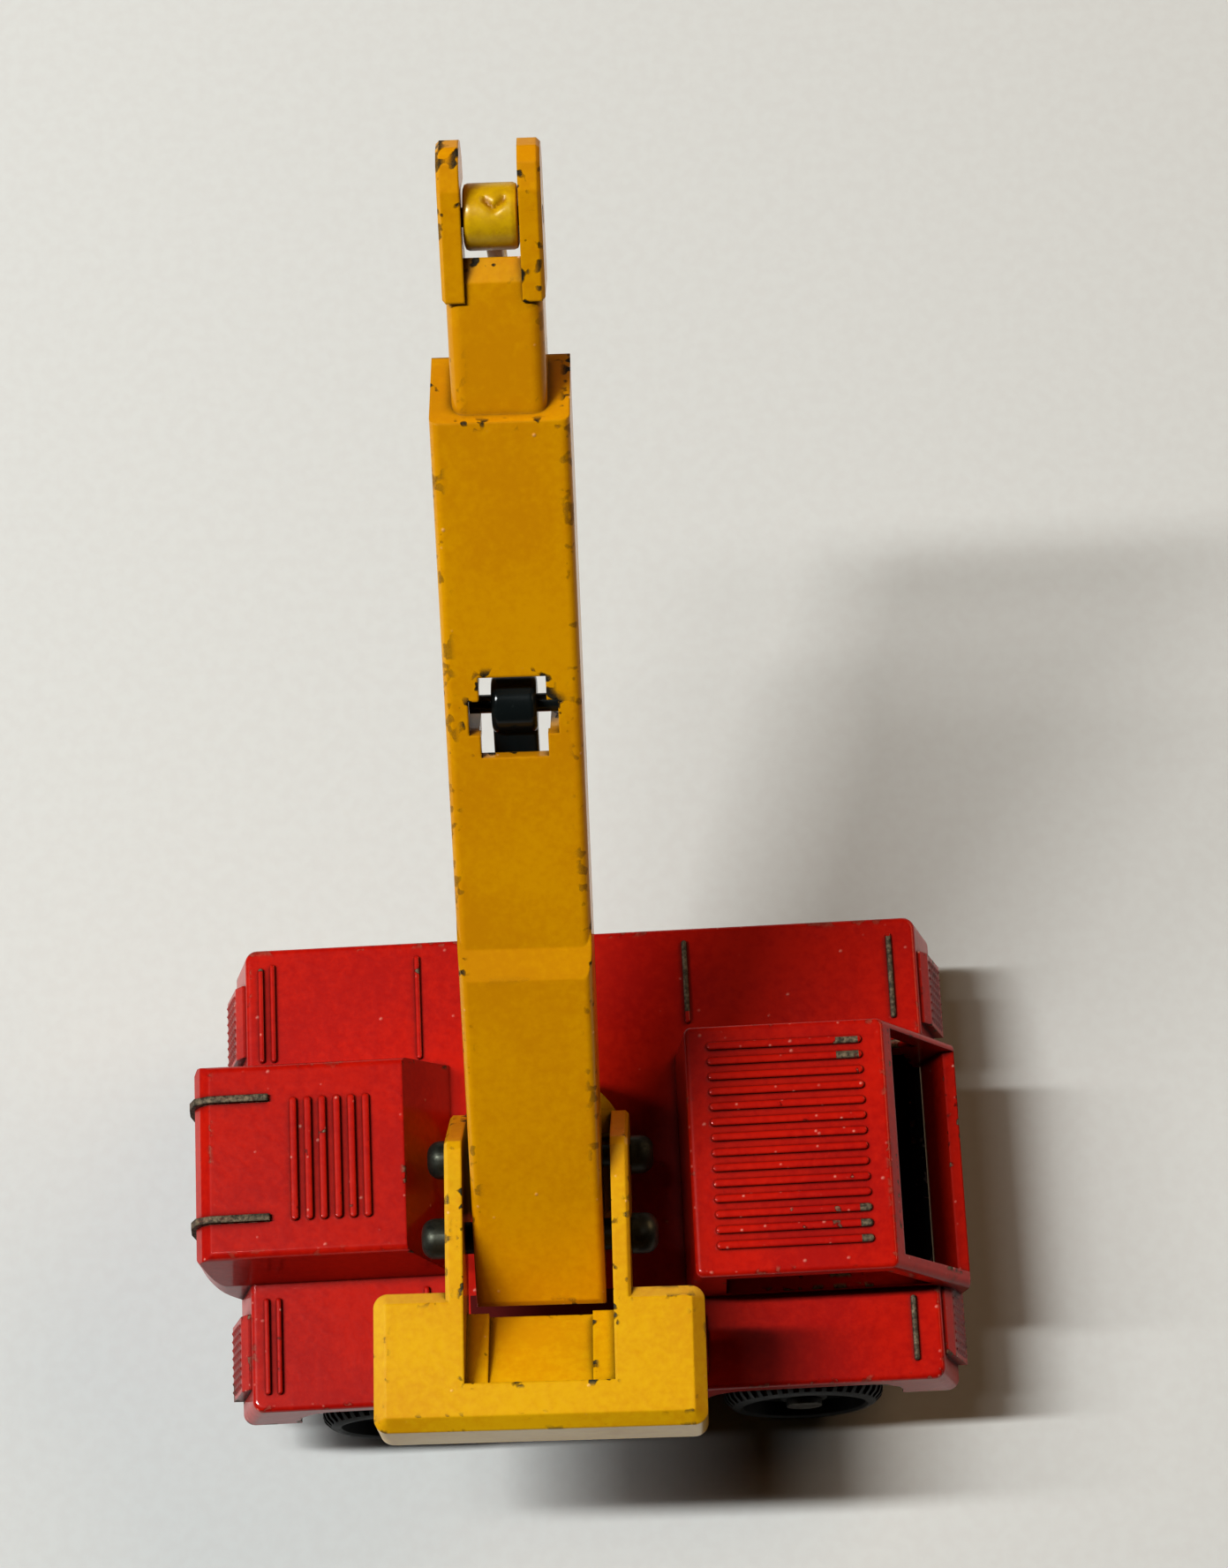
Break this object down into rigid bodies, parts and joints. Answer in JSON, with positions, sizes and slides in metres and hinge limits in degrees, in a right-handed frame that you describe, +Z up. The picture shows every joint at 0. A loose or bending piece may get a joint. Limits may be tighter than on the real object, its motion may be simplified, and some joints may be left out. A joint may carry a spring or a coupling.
{
  "type": "toy mobile crane",
  "caption": "Small die-cast toy yard crane: wheeled chassis with cab and engine cover, slewing turret, luffing boom on a sliding ram, and a hanging hook.",
  "frame": {"origin": "on the ground under the slewing axis", "axes": "+X towards the cab, +Y to the side the boom reaches over at rest, +Z up"},
  "size_m": [0.0451, 0.0606, 0.0587],
  "materials": {
    "red_paint": "gloss enamel, chipped on edges",
    "yellow_paint": "gloss enamel, chipped on edges",
    "base_paint": "satin black",
    "bright_steel": "dull plated steel",
    "dark_steel": "dark tumbled steel",
    "black_plastic": "fine moulded black plastic",
    "ram_plastic": "glossy black plastic",
    "hook_plastic": "glossy yellow plastic"
  },
  "bodies": {
    "chassis": {"body_casting": "red_paint", "baseplate": "base_paint", "rear_rivet": "bright_steel", "front_rivet": "bright_steel", "rear_axle": "bright_steel", "front_axle": "bright_steel"},
    "rear_left_wheel": {"wheel_rear_left": "black_plastic"},
    "rear_right_wheel": {"wheel_rear_right": "black_plastic"},
    "front_left_wheel": {"wheel_front_left": "black_plastic"},
    "front_right_wheel": {"wheel_front_right": "black_plastic"},
    "turret": {"turret_casting": "yellow_paint", "slewing_rivet": "dark_steel", "slewing_washer": "bright_steel", "boom_pin": "dark_steel", "ram_pin": "dark_steel"},
    "boom": {"boom_casting": "yellow_paint", "hook_pin": "dark_steel"},
    "ram_barrel": {"ram_cylinder": "ram_plastic"},
    "ram_slider": {"ram_rod": "ram_plastic"},
    "hook": {"hook": "hook_plastic"}
  },
  "joints": [
    {"name": "slew", "type": "hinge", "parent": "chassis", "child": "turret", "pos_m": [0, 0, 0.011], "axis": [0, 0, 1], "continuous": true},
    {"name": "luff", "type": "hinge", "parent": "turret", "child": "boom", "pos_m": [-0.00012, -0.00565, 0.0183], "axis": [0.9998, -0.0213, 0], "range_deg": [-29.5, 15]},
    {"name": "ram_tilt", "type": "hinge", "parent": "turret", "child": "ram_barrel", "pos_m": [-0.00001, -0.00055, 0.016], "axis": [0.9998, -0.0213, 0], "range_deg": [-32, 16.5]},
    {"name": "ram_extend", "type": "slide", "parent": "ram_barrel", "child": "ram_slider", "axis": [0.014, 0.6587, 0.7522], "range_m": [-0.0027, 0.0015]},
    {"name": "hook_swing", "type": "hinge", "parent": "boom", "child": "hook", "pos_m": [0.00084, 0.03948, 0.05551], "axis": [0.9998, -0.0213, 0], "range_deg": [-35, 60]},
    {"name": "rear_left_spin", "type": "hinge", "parent": "chassis", "child": "rear_left_wheel", "pos_m": [-0.0092, 0, 0.0047], "axis": [0, 1, 0], "continuous": true},
    {"name": "rear_right_spin", "type": "hinge", "parent": "chassis", "child": "rear_right_wheel", "pos_m": [-0.0092, 0, 0.0047], "axis": [0, 1, 0], "continuous": true},
    {"name": "front_left_spin", "type": "hinge", "parent": "chassis", "child": "front_left_wheel", "pos_m": [0.0146, 0, 0.0047], "axis": [0, 1, 0], "continuous": true},
    {"name": "front_right_spin", "type": "hinge", "parent": "chassis", "child": "front_right_wheel", "pos_m": [0.0146, 0, 0.0047], "axis": [0, 1, 0], "continuous": true}
  ],
  "couplings": [
    {"joint": "ram_tilt", "follows": "luff", "ratio": 1.078},
    {"joint": "ram_extend", "follows": "luff", "m_per_rad": 0.0049}
  ]
}
